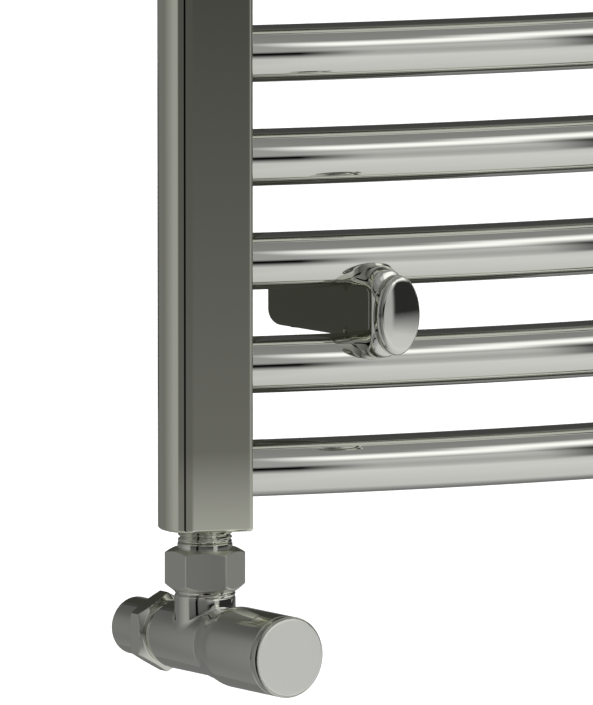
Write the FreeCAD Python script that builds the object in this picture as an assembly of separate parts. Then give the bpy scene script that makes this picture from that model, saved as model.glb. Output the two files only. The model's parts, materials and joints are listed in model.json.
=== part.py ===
"""Bowed ladder towel radiator with a pair of angled valves.

Axes: +X along the radiator's width, +Y towards the wall, +Z up. The wall posts stand pushed home in
their sleeves. Their rear ends lie in the plane y = 0 and the origin is the centre of the rectangle
of the four wall screws. All sizes are in millimetres.
Screw threads are plain cylinders at their major diameter, with ring grooves where they show.
"""
import FreeCAD, Part
import math
import os

V = FreeCAD.Vector
X_AXIS, Y_AXIS, Z_AXIS = V(1, 0, 0), V(0, 1, 0), V(0, 0, 1)

CHAMFER_SLOPE = 1.7         # a nut's turned chamfer: its width over its height

# ---- overall sizes ------------------------------------------------------------------------------
HEIGHT = 1200.0             # uprights, end to end
UPRIGHT_SPACING = 464.0     # between the axes of the two uprights
BOW_R = 680.0               # plan radius of the bars' centreline
POST_PROUD = 0.5            # how far the posts, pushed home, stand out of their sleeves

# ---- clearances ---------------------------------------------------------------------------------
WELD_GAP = 0.05             # a bar in its hole, a saddle on its bar
THREAD_GAP = 0.05           # radial, male thread in female thread
RUN_GAP = 0.05              # radial, a turning or sliding fit
FACE_GAP = 0.30             # between faces of different moving bodies

# ---- bars ---------------------------------------------------------------------------------------
BAR_OD = 22.0
BAR_WALL = 1.0
BAR_PITCH = 40.0
BAR_GROUPS = (7, 6, 5, 4)   # bars in each group, lowest group first
END_MARGIN = 22.6           # end of the upright to the nearest bar's axis

# ---- uprights: a D section, flat side to the bars, round side outwards ---------------------------
UPRIGHT_WIDTH = 33.3        # along the bars
UPRIGHT_FLAT_SIDE = 15.3    # axis of the end tappings to the flat inner side
UPRIGHT_DEPTH = 30.0        # front to back
UPRIGHT_NOSE = 10.5         # how far the rounded side stands out from the flat front and back
UPRIGHT_WALL = 1.5
END_CAP_T = 4.0
END_CAP_EDGE_R = 1.2
BOSS_R = 12.4               # threaded boss inside the end cap
BOSS_LENGTH = 9.0
HALF_INCH_R = 10.48         # major radius of the half-inch pipe thread
HALF_INCH_PITCH = 1.814

# ---- wall brackets ------------------------------------------------------------------------------
BRACKET_INSET = 60.0        # upright's axis to the bracket's axis
BRACKET_BARS_BELOW = 2      # the bracket grips the gap above this many bars, and the same from the top
POST_R = 5.25
POST_LENGTH = 40.0
WALL_SCREW_R = 2.75
WALL_SCREW_HEAD_R = 4.2
WALL_SCREW_HEAD_DEPTH = 3.0
SLEEVE_WIDTH = 14.5
SLEEVE_HEIGHT = 23.2        # at its open end
SADDLE_HEIGHT = 22.4        # at the bars
SLEEVE_REAR = 53.8          # bar's axis back to the open end of the sleeve
SLEEVE_BORE_DEPTH = 43.0
SPLIT = 2.0                 # the clamp's split lies this far in front of the bars' axes
CLAMP_WIDTH = 16.0
CLAMP_ROOT_HEIGHT = 34.0    # at the split
CLAMP_HEIGHT = 36.5         # widest part of the front clamp, over the fronts of the bars
CLAMP_WIDEST = 15.0         # in front of the bar's axis
CLAMP_SHOULDER = 18.5       # the clamp draws in from here to the cap's seat
CLAMP_SHOULDER_HEIGHT = 33.0
CLAMP_FRONT = 22.0
CAP_SEAT_WIDTH = 14.5
CAP_SEAT_HEIGHT = 26.0
CAP_WIDTH = 18.5
CAP_HEIGHT = 30.4
CAP_RIM = 3.0
CAP_DOME = 3.5
CLAMP_BOLT_R = 2.0
CLAMP_BOLT_HEAD_R = 3.5
CLAMP_BOLT_HEAD_T = 4.0
CLAMP_BOLT_GRIP = 9.0       # length in the sleeve
HEX_KEY = 3.0
HEX_KEY_DEPTH = 2.4
GRUB_R = 2.5
GRUB_KEY = 2.5
GRUB_KEY_DEPTH = 2.0
GRUB_RECESS = 0.3           # its foot above the underside of the sleeve
GRUB_SETBACK = 10.0         # open end of the sleeve to the grub screw

# ---- angled valve: origin where the tail's axis meets the barrel's axis ---------------------------
VALVE_DROP = 43.3           # lower end of the upright down to the barrel's axis
BARREL_R = 13.2
BARREL_REAR = 20.5          # + is towards the wall
BARREL_FRONT = -12.5
NECK_R = 11.8
NECK_TOP = 25.5
WATERWAY_R = 6.5
SEAT_R = 5.5
SEAT_STATION = 5.0
SEAT_T = 3.0
OUTLET_SETBACK = 7.0        # seat to the axis of the way up into the neck
CHAMBER_R = 9.8
INLET_THREAD_R = 10.2
INLET_THREAD_END = 36.5
PIPE_R = 7.5                # 15 mm pipe
PIPE_GAP = 0.05
PIPE_STOP = 17.0
COMPRESSION_AF = 27.0
COMPRESSION_HEX = (24.3, 32.3)
COMPRESSION_SKIRT_R = 11.2
COMPRESSION_END = 49.2
OLIVE_T = 1.3
OLIVE_LENGTH = 6.0
UNION_AF = 27.0
UNION_TURN = -32.0          # degrees from +X to a corner of the tightened nut
UNION_BOTTOM = 19.5         # above the barrel's axis
UNION_TOP = 35.7
TAIL_COLLAR_R = 10.6
TAIL_COLLAR = (34.5, 38.4)  # above the barrel's axis
TAIL_FLANGE_R = 10.9
TAIL_FLANGE_T = 4.0
TAIL_BORE_R = 6.5
TAIL_GRIP = 10.0            # thread inside the end cap
UNION_SEAL_T = 1.5

# ---- valve headwork and handle --------------------------------------------------------------------
BONNET_FLANGE_R = 11.6
BONNET_FLANGE = (-13.7, -17.0)
BONNET_THREAD_R = 9.75
BONNET_REAR = -4.5
BONNET_NOSE_R = 6.5
BONNET_FRONT = -27.0
BONNET_SEAL_T = 1.2
PLUG_AF = 12.0
PLUG_TRAVEL = 4.0
PLUG_LENGTH = 8.5
PLUG_WEB = 1.2              # metal between the plug's thread and its washer
WASHER_R = 6.4
WASHER_T = 2.0
SEAT_LIFT = 0.10            # washer to seat when closed
SPINDLE_R = 3.0
SPINDLE_SCREW_R = 2.5
SPINDLE_COLLAR_R = 4.6
SPINDLE_COLLAR_T = 2.0
SPINDLE_FRONT = -38.0
SPINDLE_SQUARE = 4.6
SPINDLE_TAPPING = 7.0
SPINDLE_SEAL_R = 0.9
SPINDLE_SEAL_STATION = -24.5
HANDLE_R = 15.6
HANDLE_MOUTH_R = 13.8
HANDLE_MOUTH = -13.0
HANDLE_FULL = -24.6         # the taper from the mouth reaches full size here
HANDLE_FRONT = -58.8
HANDLE_WALL = 1.6
HANDLE_GROOVE = 4.3         # disc's face back to the groove ring
HANDLE_GROOVE_DEPTH = 0.4
DISC_R = 14.8
DISC_T = 3.0
INSERT_AF = 9.0
INSERT_LENGTH = 16.0
HANDLE_WEB = HANDLE_FRONT + DISC_T + 8.0    # front face of the web that the screw pulls on
HANDLE_WEB_T = 3.0
HANDLE_SCREW_R = 1.5
HANDLE_SCREW_HEAD_R = 3.4
HANDLE_SCREW_HEAD_T = 2.1
LOCK_COVER_GRIP_T = 1.2

# ---- fittings in the upper tappings ---------------------------------------------------------------
PLUG_HEAD_R = 12.5
PLUG_HEAD_T = 4.5
TOP_SEAL_T = 1.0
VENT_SCREW_R = 3.4
VENT_SCREW_KEY = 5.0
VENT_SCREW_LENGTH = 9.0
VENT_HOLE_R = 1.2

# ---- sizes that follow ----------------------------------------------------------------------------
UPRIGHT_X = UPRIGHT_SPACING / 2
BAR_R = BAR_OD / 2
# half of the angle that the bars bend through, where they meet the uprights' flat sides
BOW_HALF = (math.asin(UPRIGHT_X / math.hypot(BOW_R, UPRIGHT_FLAT_SIDE))
            - math.atan2(UPRIGHT_FLAT_SIDE, BOW_R))
BRACKET_X = UPRIGHT_X - BRACKET_INSET
BRACKET_BAR_Y = -SLEEVE_REAR - POST_PROUD
BOW_CENTRE_Y = BRACKET_BAR_Y + math.sqrt(BOW_R ** 2 - BRACKET_X ** 2)
# rear ends of the posts to the axes of the uprights
AXIS_GAP = BOW_R * math.cos(BOW_HALF) - UPRIGHT_FLAT_SIDE * math.sin(BOW_HALF) - BOW_CENTRE_Y
BOTTOM = -HEIGHT / 2
TOP = HEIGHT / 2
BRACKET_Z = TOP - END_MARGIN - (BRACKET_BARS_BELOW - 0.5) * BAR_PITCH
VALVE_Z = BOTTOM - VALVE_DROP
SIDES = {"left": -1, "right": 1}
PLUG_FACE = SEAT_STATION - SEAT_LIFT - WASHER_T     # rear face of the closed plug
BRACKET_SPOTS = [(sx * BRACKET_X, sz * BRACKET_Z) for sz in (-1, 1) for sx in (-1, 1)]


# ---- helpers --------------------------------------------------------------------------------------
def tube(radius, start, end, axis=Z_AXIS, bore=0.0):
    """A cylinder between two stations on an axis through the origin, bored when bore is given."""
    low, high = min(start, end), max(start, end)
    solid = Part.makeCylinder(radius, high - low, axis * low, axis)
    if bore:
        solid = solid.cut(Part.makeCylinder(bore, high - low + 2, axis * (low - 1), axis))
    return solid


def turned(points, axis=Z_AXIS):
    """A solid of revolution from (radius, station) points."""
    ring = [X_AXIS * r + axis * s for r, s in points]
    face = Part.Face(Part.makePolygon(ring + ring[:1]))
    return face.revolve(V(0, 0, 0), axis, 360)


def hexagon(across_flats, start, end, axis=Z_AXIS, corner_dir=X_AXIS, chamfer=0.0, rear_chamfer=None):
    """A hexagonal prism with turned chamfers on its two ends."""
    low, high = min(start, end), max(start, end)
    corner = across_flats / math.sqrt(3)
    other = axis.cross(corner_dir)
    points = [corner_dir * (corner * math.cos(k * math.pi / 3))
              + other * (corner * math.sin(k * math.pi / 3)) + axis * low for k in range(6)]
    prism = Part.Face(Part.makePolygon(points + points[:1])).extrude(axis * (high - low))
    if not chamfer:
        return prism
    rear = chamfer if rear_chamfer is None else rear_chamfer
    limit = turned([(0, low), (corner - rear * CHAMFER_SLOPE, low), (corner, low + rear),
                    (corner, high - chamfer), (corner - chamfer * CHAMFER_SLOPE, high), (0, high)], axis)
    return prism.common(limit)


def square(across, start, end, axis=Y_AXIS):
    """A square bar on an axis along Y or Z."""
    low, high = min(start, end), max(start, end)
    half = across / 2
    if axis == Y_AXIS:
        return Part.makeBox(across, high - low, across, V(-half, low, -half))
    return Part.makeBox(across, across, high - low, V(-half, -half, low))


def oval(width, height, y):
    """A closed wire in the plane of the wall: two straight sides joined by round ends."""
    half, flat = width / 2, (height - width) / 2
    sides = [Part.LineSegment(V(half, y, -flat), V(half, y, flat)),
             Part.Arc(V(half, y, flat), V(0, y, flat + half), V(-half, y, flat)),
             Part.LineSegment(V(-half, y, flat), V(-half, y, -flat)),
             Part.Arc(V(-half, y, -flat), V(0, y, -flat - half), V(half, y, -flat))]
    return Part.Wire([side.toShape() for side in sides])


def oval_loft(sections):
    """A solid through ovals given as (width, height, y)."""
    return Part.makeLoft([oval(*section) for section in sections], True, True)


def moved(shape, x=0.0, y=0.0, z=0.0):
    copy = shape.copy()
    copy.translate(V(x, y, z))
    return copy


def mirrored(shape):
    return shape.mirror(V(0, 0, 0), X_AXIS)


def write(name, *solids):
    """One STEP file for one node, with one or more separate solids."""
    shape = solids[0] if len(solids) == 1 else Part.makeCompound(list(solids))
    shape.exportStep("parts/" + name + ".step")


def thread_rings(radius, start, end, pitch, depth=0.6):
    """(radius, station) points of a thread drawn as rings, from start to end."""
    turns = max(1, int(abs(end - start) / pitch))
    step = (end - start) / turns
    points = []
    for turn in range(turns):
        at = start + turn * step
        points += [(radius, at + 0.15 * step), (radius - depth, at + 0.5 * step), (radius, at + 0.85 * step)]
    return points


# ---- bars and uprights ----------------------------------------------------------------------------
def bar_heights():
    """Heights of the bars' axes, lowest first."""
    inside = sum(count - 1 for count in BAR_GROUPS) * BAR_PITCH
    group_gap = (HEIGHT - 2 * END_MARGIN - inside) / (len(BAR_GROUPS) - 1)
    heights, z = [], BOTTOM + END_MARGIN
    for count in BAR_GROUPS:
        heights += [z + k * BAR_PITCH for k in range(count)]
        z = heights[-1] + group_gap
    return heights


def bowed_rod(radius, z, reach, bore=0.0):
    """A rod bent to the bow's radius; reach is how far it passes the uprights' flat sides."""
    centre = V(0, BOW_CENTRE_Y, z)
    start = V(0, BOW_CENTRE_Y - BOW_R, z)
    face = Part.Face(Part.Wire(Part.makeCircle(radius, start, X_AXIS)))
    if bore:
        face = face.cut(Part.Face(Part.Wire(Part.makeCircle(bore, start, X_AXIS))))
    half = math.degrees(BOW_HALF + reach / BOW_R)
    face.rotate(centre, Z_AXIS, -half)
    return face.revolve(centre, Z_AXIS, 2 * half)


def d_section(inset=0.0):
    """The upright's section: flat inner side at -x, rounded side at +x, front at -y."""
    flat = -UPRIGHT_FLAT_SIDE + inset
    shoulder = UPRIGHT_WIDTH - UPRIGHT_FLAT_SIDE - UPRIGHT_NOSE
    half = UPRIGHT_DEPTH / 2 - inset
    nose = Part.Ellipse(V(shoulder, half, 0), V(shoulder + UPRIGHT_NOSE - inset, 0, 0), V(shoulder, 0, 0))
    arc = nose.toShape(0, math.pi)
    ends = [vertex.Point for vertex in arc.Vertexes]
    upper = max(ends, key=lambda p: p.y)
    lower = min(ends, key=lambda p: p.y)
    corners = [upper, V(flat, half, 0), V(flat, -half, 0), lower]
    lines = [Part.LineSegment(a, b).toShape() for a, b in zip(corners, corners[1:])]
    return Part.Face(Part.Wire([arc] + lines))


def at_upright(shape, side):
    """Moves a shape from the upright's own frame to one side of the radiator."""
    copy = shape.copy()
    copy.rotate(V(0, 0, 0), Z_AXIS, math.degrees(BOW_HALF))
    copy.translate(V(UPRIGHT_X, -AXIS_GAP, 0))
    return mirrored(copy) if side < 0 else copy


def upright_tube(heights):
    length = HEIGHT - 2 * END_CAP_T
    shell = d_section().extrude(V(0, 0, length)).cut(d_section(UPRIGHT_WALL).extrude(V(0, 0, length)))
    shell = at_upright(moved(shell, z=BOTTOM + END_CAP_T), 1)
    holes = [bowed_rod(BAR_R + WELD_GAP, z, UPRIGHT_WALL + 2) for z in heights]
    return shell.cut(holes)


def end_cap():
    """The cap on the lower end: rounded edge, threaded boss that points up into the tube."""
    plate = d_section().extrude(V(0, 0, END_CAP_T))
    rim = [e for e in plate.Edges if all(abs(v.Point.z) < 1e-6 for v in e.Vertexes)]
    plate = plate.makeFillet(END_CAP_EDGE_R, rim)
    boss = tube(BOSS_R, END_CAP_T, END_CAP_T + BOSS_LENGTH)
    bore = tube(HALF_INCH_R + THREAD_GAP, -1, END_CAP_T + BOSS_LENGTH + 1)
    return plate.fuse(boss).cut(bore)


def frame():
    heights = bar_heights()
    for number, z in enumerate(heights, start=1):
        write("bar_%02d" % number, bowed_rod(BAR_R, z, UPRIGHT_WALL, BAR_R - BAR_WALL))
    shell = upright_tube(heights)
    write("upright_right", shell)
    write("upright_left", mirrored(shell))
    low = moved(end_cap(), z=BOTTOM)
    high = end_cap()
    high.rotate(V(0, 0, 0), X_AXIS, 180)
    high.translate(V(0, 0, TOP))
    for name, side in SIDES.items():
        write("end_cap_bottom_" + name, at_upright(low, side))
        write("end_cap_top_" + name, at_upright(high, side))


# ---- wall brackets --------------------------------------------------------------------------------
def gripped_bars(x):
    """The two bars beside a bracket, a weld gap larger, in the bracket's own frame."""
    rods = [bowed_rod(BAR_R + WELD_GAP, side * BAR_PITCH / 2, 0) for side in (-1, 1)]
    return [moved(rod, x=-x, y=-BRACKET_BAR_Y) for rod in rods]


def bracket_sleeve(x):
    """The part behind the bars: an oval sleeve whose front end is the rear saddle."""
    body = oval_loft([(SLEEVE_WIDTH, SADDLE_HEIGHT, -SPLIT + RUN_GAP),
                      (SLEEVE_WIDTH, SLEEVE_HEIGHT, SLEEVE_REAR)])
    body = body.cut(gripped_bars(x))
    bore = tube(POST_R + RUN_GAP, SLEEVE_REAR - SLEEVE_BORE_DEPTH, SLEEVE_REAR + 1, Y_AXIS)
    bolt = tube(CLAMP_BOLT_R + THREAD_GAP, -SPLIT - 1, -SPLIT + CLAMP_BOLT_GRIP + 1, Y_AXIS)
    grub = tube(GRUB_R + THREAD_GAP, -SLEEVE_HEIGHT, 0)
    return body.cut([bore, bolt, moved(grub, y=SLEEVE_REAR - GRUB_SETBACK)])


def front_clamp(x):
    """The part in front of the bars: wings that hug the bars, and a seat for the oval cap."""
    body = oval_loft([(CLAMP_WIDTH, CLAMP_ROOT_HEIGHT, -SPLIT - RUN_GAP),
                      (CLAMP_WIDTH, CLAMP_HEIGHT, -CLAMP_WIDEST),
                      (CLAMP_WIDTH, CLAMP_SHOULDER_HEIGHT, -CLAMP_SHOULDER),
                      (CAP_SEAT_WIDTH, CAP_SEAT_HEIGHT, -CLAMP_FRONT)])
    body = body.cut(gripped_bars(x))
    hole = tube(CLAMP_BOLT_R + 2 * THREAD_GAP, -SPLIT + 1, -CLAMP_FRONT - 1, Y_AXIS)
    sink = tube(CLAMP_BOLT_HEAD_R + 2 * THREAD_GAP, -CLAMP_FRONT + CLAMP_BOLT_HEAD_T + 1,
                -CLAMP_FRONT - 1, Y_AXIS)
    return body.cut([hole, sink])


def bracket_cap():
    """The oval cap: a short rim and a dome, turned round and then stretched to the oval."""
    rear = -CLAMP_FRONT - RUN_GAP
    rim = rear - CAP_RIM
    dome = Part.Ellipse(V(0, rim - CAP_DOME, 0), V(1, rim, 0), V(0, rim, 0)).toShape(0, math.pi / 2)
    walls = Part.makePolygon([V(0, rim - CAP_DOME, 0), V(0, rear, 0), V(1, rear, 0), V(1, rim, 0)])
    face = Part.Face(Part.Wire([dome] + walls.Edges))
    stretch = FreeCAD.Matrix()
    stretch.scale(CAP_WIDTH / 2, 1, CAP_HEIGHT / 2)
    return face.revolve(V(0, 0, 0), Y_AXIS, 360).transformGeometry(stretch)


def clamp_bolt():
    """A socket-headed bolt from the front clamp into the sleeve."""
    seat = -CLAMP_FRONT + CLAMP_BOLT_HEAD_T
    head = tube(CLAMP_BOLT_HEAD_R, -CLAMP_FRONT + 1, seat + 1, Y_AXIS)
    shank = tube(CLAMP_BOLT_R, seat, -SPLIT + CLAMP_BOLT_GRIP, Y_AXIS)
    socket = hexagon(HEX_KEY, -CLAMP_FRONT, -CLAMP_FRONT + 1 + HEX_KEY_DEPTH, Y_AXIS)
    return head.fuse(shank).cut(socket)


def grub_screw():
    """The screw under the sleeve that holds the post."""
    foot = -(POST_R + 2 * RUN_GAP)
    outer = -SLEEVE_HEIGHT / 2 + GRUB_RECESS
    screw = tube(GRUB_R, outer, foot)
    socket = hexagon(GRUB_KEY, outer - 1, outer + GRUB_KEY_DEPTH)
    return moved(screw.cut(socket), y=SLEEVE_REAR - GRUB_SETBACK)


def wall_post():
    """A post with a counterbored hole for the wall screw; the sleeve slides on it."""
    post = tube(POST_R, -POST_LENGTH, 0, Y_AXIS, WALL_SCREW_R)
    sink = tube(WALL_SCREW_HEAD_R, -POST_LENGTH - 1, -POST_LENGTH + WALL_SCREW_HEAD_DEPTH, Y_AXIS)
    return post.cut(sink)


def brackets():
    groups = {"bracket_sleeves": bracket_sleeve, "front_clamps": front_clamp}
    for name, make in groups.items():
        pair = {sx: make(sx * BRACKET_X) for sx in (-1, 1)}
        write(name, *[moved(pair[-1 if x < 0 else 1], x, BRACKET_BAR_Y, z) for x, z in BRACKET_SPOTS])
    for name, solid in (("bracket_caps", bracket_cap()), ("clamp_bolts", clamp_bolt()),
                        ("grub_screws", grub_screw())):
        write(name, *[moved(solid, x, BRACKET_BAR_Y, z) for x, z in BRACKET_SPOTS])
    write("wall_posts", *[moved(wall_post(), x, 0, z) for x, z in BRACKET_SPOTS])


# ---- valves ---------------------------------------------------------------------------------------
def at_valve(shape, side):
    return moved(shape, side * UPRIGHT_X, -AXIS_GAP, VALVE_Z)


def valve_body():
    barrel = turned([(0, BARREL_FRONT), (BARREL_R - 0.6, BARREL_FRONT), (BARREL_R, BARREL_FRONT + 0.6),
                     (BARREL_R, BARREL_REAR - 1.2), (BARREL_R - 1.2, BARREL_REAR),
                     (INLET_THREAD_R, BARREL_REAR), (INLET_THREAD_R, INLET_THREAD_END),
                     (0, INLET_THREAD_END)], Y_AXIS)
    neck = turned([(0, 0), (NECK_R, 0), (NECK_R, UNION_BOTTOM - 2.6)]
                  + thread_rings(NECK_R, UNION_BOTTOM - 2.6, UNION_BOTTOM + 1, HALF_INCH_PITCH)
                  + [(NECK_R, NECK_TOP), (0, NECK_TOP)])
    pipe_socket = tube(PIPE_R + PIPE_GAP, PIPE_STOP, INLET_THREAD_END + 1, Y_AXIS)
    olive_seat = turned([(0, INLET_THREAD_END - 2.5), (PIPE_R + PIPE_GAP, INLET_THREAD_END - 2.5),
                         (PIPE_R + PIPE_GAP + OLIVE_T, INLET_THREAD_END + 0.5),
                         (0, INLET_THREAD_END + 0.5)], Y_AXIS)
    inlet = tube(WATERWAY_R, SEAT_STATION + SEAT_T, PIPE_STOP + 1, Y_AXIS)
    seat = tube(SEAT_R, SEAT_STATION - 1, SEAT_STATION + SEAT_T + 1, Y_AXIS)
    chamber = tube(CHAMBER_R, BARREL_FRONT - 1, SEAT_STATION, Y_AXIS)
    outlet = moved(tube(WATERWAY_R, 0, NECK_TOP + 1), y=SEAT_STATION - OUTLET_SETBACK)
    outlet = outlet.common(tube(WATERWAY_R + 2, 0, NECK_TOP + 1))
    return barrel.fuse(neck).cut([pipe_socket, olive_seat, inlet, seat, chamber, outlet])


def union_tail():
    """Screws into the end cap; its flange is drawn down onto the neck by the union nut."""
    foot = NECK_TOP + UNION_SEAL_T
    low, high = TAIL_COLLAR
    top = VALVE_DROP + TAIL_GRIP
    shape = turned([(0, foot), (TAIL_FLANGE_R, foot), (TAIL_FLANGE_R, foot + TAIL_FLANGE_T),
                    (TAIL_COLLAR_R - 1.2, foot + TAIL_FLANGE_T), (TAIL_COLLAR_R - 1.2, low - 1),
                    (TAIL_COLLAR_R - 0.4, low - 1), (TAIL_COLLAR_R, low - 0.6), (TAIL_COLLAR_R, high - 0.8),
                    (TAIL_COLLAR_R - 0.8, high)]
                   + thread_rings(HALF_INCH_R, high, top, HALF_INCH_PITCH)
                   + [(HALF_INCH_R, top), (0, top)])
    key = hexagon(TAIL_BORE_R * 2 * 0.9, top - 12, top + 1)
    return shape.cut(tube(TAIL_BORE_R, foot - 1, top + 1)).cut(key)


def union_seal():
    return tube(TAIL_FLANGE_R, NECK_TOP, NECK_TOP + UNION_SEAL_T, bore=TAIL_BORE_R)


def union_nut():
    """Hexagon as it stands when tight, with a lip over the tail's flange."""
    flange_top = NECK_TOP + UNION_SEAL_T + TAIL_FLANGE_T
    turn = math.radians(UNION_TURN)
    corner = V(math.cos(turn), math.sin(turn), 0)
    body = hexagon(UNION_AF, UNION_BOTTOM, UNION_TOP, Z_AXIS, corner, chamfer=1.3, rear_chamfer=2.0)
    thread = tube(NECK_R + THREAD_GAP, UNION_BOTTOM - 1, flange_top)
    lip = tube(TAIL_COLLAR_R + THREAD_GAP, flange_top - 1, UNION_TOP + 1)
    return body.cut([thread, lip])


def compression_nut():
    """Hexagon with a long round skirt that covers the pipe's entry."""
    front, rear = COMPRESSION_HEX
    hexed = hexagon(COMPRESSION_AF, front, rear, Y_AXIS, Z_AXIS, chamfer=1.2, rear_chamfer=2.2)
    collar = tube(BARREL_R - 1.4, BARREL_REAR + 0.8, front + 1, Y_AXIS)
    skirt = turned([(0, rear - 1), (COMPRESSION_SKIRT_R, rear - 1), (COMPRESSION_SKIRT_R, COMPRESSION_END - 0.8),
                    (COMPRESSION_SKIRT_R - 0.8, COMPRESSION_END), (0, COMPRESSION_END)], Y_AXIS)
    thread = tube(INLET_THREAD_R + THREAD_GAP, BARREL_REAR, INLET_THREAD_END + 0.5, Y_AXIS)
    cone_end = INLET_THREAD_END + 0.9 + OLIVE_LENGTH / 2
    cone = turned([(0, INLET_THREAD_END), (PIPE_R + OLIVE_T + 0.5, INLET_THREAD_END),
                   (PIPE_R + OLIVE_T + 0.5, cone_end), (PIPE_R + PIPE_GAP, cone_end + 1.6), (0, cone_end + 1.6)],
                  Y_AXIS)
    pipe = tube(PIPE_R + PIPE_GAP, INLET_THREAD_END, COMPRESSION_END + 1, Y_AXIS)
    return hexed.fuse([collar, skirt]).cut([thread, cone, pipe])


def olive():
    """The brass ring that the nut presses onto the pipe."""
    inner, outer = PIPE_R + PIPE_GAP, PIPE_R + OLIVE_T
    start = INLET_THREAD_END - 1.2
    return turned([(inner, start), (inner + 0.4, start), (outer, start + OLIVE_LENGTH * 0.4),
                   (outer, start + OLIVE_LENGTH * 0.6), (inner + 0.4, start + OLIVE_LENGTH),
                   (inner, start + OLIVE_LENGTH)], Y_AXIS)


def bonnet():
    """The headwork: screwed into the barrel, guides the plug's hexagon and the spindle."""
    rear_of_flange, front_of_flange = BONNET_FLANGE
    outer = turned([(0, BONNET_REAR), (BONNET_THREAD_R, BONNET_REAR), (BONNET_THREAD_R, rear_of_flange),
                    (BONNET_FLANGE_R, rear_of_flange), (BONNET_FLANGE_R, front_of_flange),
                    (BONNET_NOSE_R, front_of_flange), (BONNET_NOSE_R, BONNET_FRONT), (0, BONNET_FRONT)], Y_AXIS)
    guide = hexagon(PLUG_AF + 4 * RUN_GAP, BONNET_REAR + 1, collar_rear(), Y_AXIS)
    collar = tube(SPINDLE_COLLAR_R + RUN_GAP, collar_rear() + 1, collar_front() - FACE_GAP, Y_AXIS)
    stem = tube(SPINDLE_R + RUN_GAP, collar_front() + 1, BONNET_FRONT - 1, Y_AXIS)
    groove = turned(seal_section(SPINDLE_SEAL_R * 1.1), Y_AXIS)
    return outer.cut([guide, collar, stem, groove])


def collar_rear():
    """Rear end of the pocket that the spindle's collar turns in, past the plug's travel."""
    return PLUG_FACE - PLUG_LENGTH - PLUG_TRAVEL - 2 * FACE_GAP


def collar_front():
    return collar_rear() - SPINDLE_COLLAR_T - FACE_GAP


def seal_section(radius):
    """A ring's section round the spindle, drawn as an octagon."""
    centre = SPINDLE_R + RUN_GAP + SPINDLE_SEAL_R
    return [(centre + radius * math.cos(k * math.pi / 4 + math.pi / 8),
             SPINDLE_SEAL_STATION + radius * math.sin(k * math.pi / 4 + math.pi / 8)) for k in range(8)]


def spindle_seal():
    ring = turned(seal_section(SPINDLE_SEAL_R), Y_AXIS)
    return ring.cut(tube(SPINDLE_R + RUN_GAP, SPINDLE_SEAL_STATION - 2, SPINDLE_SEAL_STATION + 2, Y_AXIS))


def bonnet_seal():
    return tube(BONNET_FLANGE_R - 0.6, BARREL_FRONT, BARREL_FRONT - BONNET_SEAL_T, Y_AXIS, BONNET_THREAD_R + 0.1)


def spindle(front):
    """Turns in the bonnet without rising; its screw drives the plug."""
    screw_end = PLUG_FACE - PLUG_WEB - PLUG_TRAVEL - FACE_GAP
    body = turned([(0, screw_end), (SPINDLE_SCREW_R, screw_end), (SPINDLE_SCREW_R, collar_rear() - FACE_GAP),
                   (SPINDLE_COLLAR_R, collar_rear() - FACE_GAP), (SPINDLE_COLLAR_R, collar_front()),
                   (SPINDLE_R, collar_front()), (SPINDLE_R, BONNET_FRONT - 1), (0, BONNET_FRONT - 1)], Y_AXIS)
    tapping = tube(HANDLE_SCREW_R + THREAD_GAP, front - 1, front + SPINDLE_TAPPING, Y_AXIS)
    return body.fuse(square(SPINDLE_SQUARE, BONNET_FRONT, front)).cut(tapping)


def valve_plug():
    """A hexagonal nut that slides in the bonnet and carries the washer."""
    body = hexagon(PLUG_AF, PLUG_FACE, PLUG_FACE - PLUG_LENGTH, Y_AXIS)
    screw = tube(SPINDLE_SCREW_R + RUN_GAP, PLUG_FACE - PLUG_WEB, PLUG_FACE - PLUG_LENGTH - 1, Y_AXIS)
    return body.cut(screw)


def plug_washer():
    return tube(WASHER_R, PLUG_FACE, PLUG_FACE + WASHER_T, Y_AXIS)


def grip_shell(pocket):
    """The turned outer form that the handle and the lockshield cover share, open at the rear."""
    outer = [(0, HANDLE_FRONT + 0.6), (HANDLE_R - 0.6, HANDLE_FRONT + 0.6),
             (HANDLE_R, HANDLE_FRONT + 1.2), (HANDLE_R, HANDLE_FRONT + HANDLE_GROOVE - 0.5),
             (HANDLE_R - HANDLE_GROOVE_DEPTH, HANDLE_FRONT + HANDLE_GROOVE),
             (HANDLE_R, HANDLE_FRONT + HANDLE_GROOVE + 0.5), (HANDLE_R, HANDLE_FULL)]
    steps = 5
    for k in range(1, steps + 1):
        share = k / steps
        ease = 0.5 - 0.5 * math.cos(math.pi * share)
        outer.append((HANDLE_R + (HANDLE_MOUTH_R - HANDLE_R) * ease,
                      HANDLE_FULL + (HANDLE_MOUTH - HANDLE_FULL) * share))
    outer.append((0, HANDLE_MOUTH))
    shell = turned(outer, Y_AXIS)
    mouth = turned([(0, HANDLE_MOUTH + 1), (HANDLE_MOUTH_R - 0.5, HANDLE_MOUTH + 1),
                    (HANDLE_MOUTH_R - 0.5, HANDLE_FULL), (HANDLE_R - HANDLE_WALL, HANDLE_FULL - 2),
                    (HANDLE_R - HANDLE_WALL, pocket), (0, pocket)], Y_AXIS)
    recess = tube(DISC_R - 0.6 + RUN_GAP, HANDLE_FRONT, HANDLE_FRONT + DISC_T, Y_AXIS)
    return shell.cut([mouth, recess])


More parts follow.
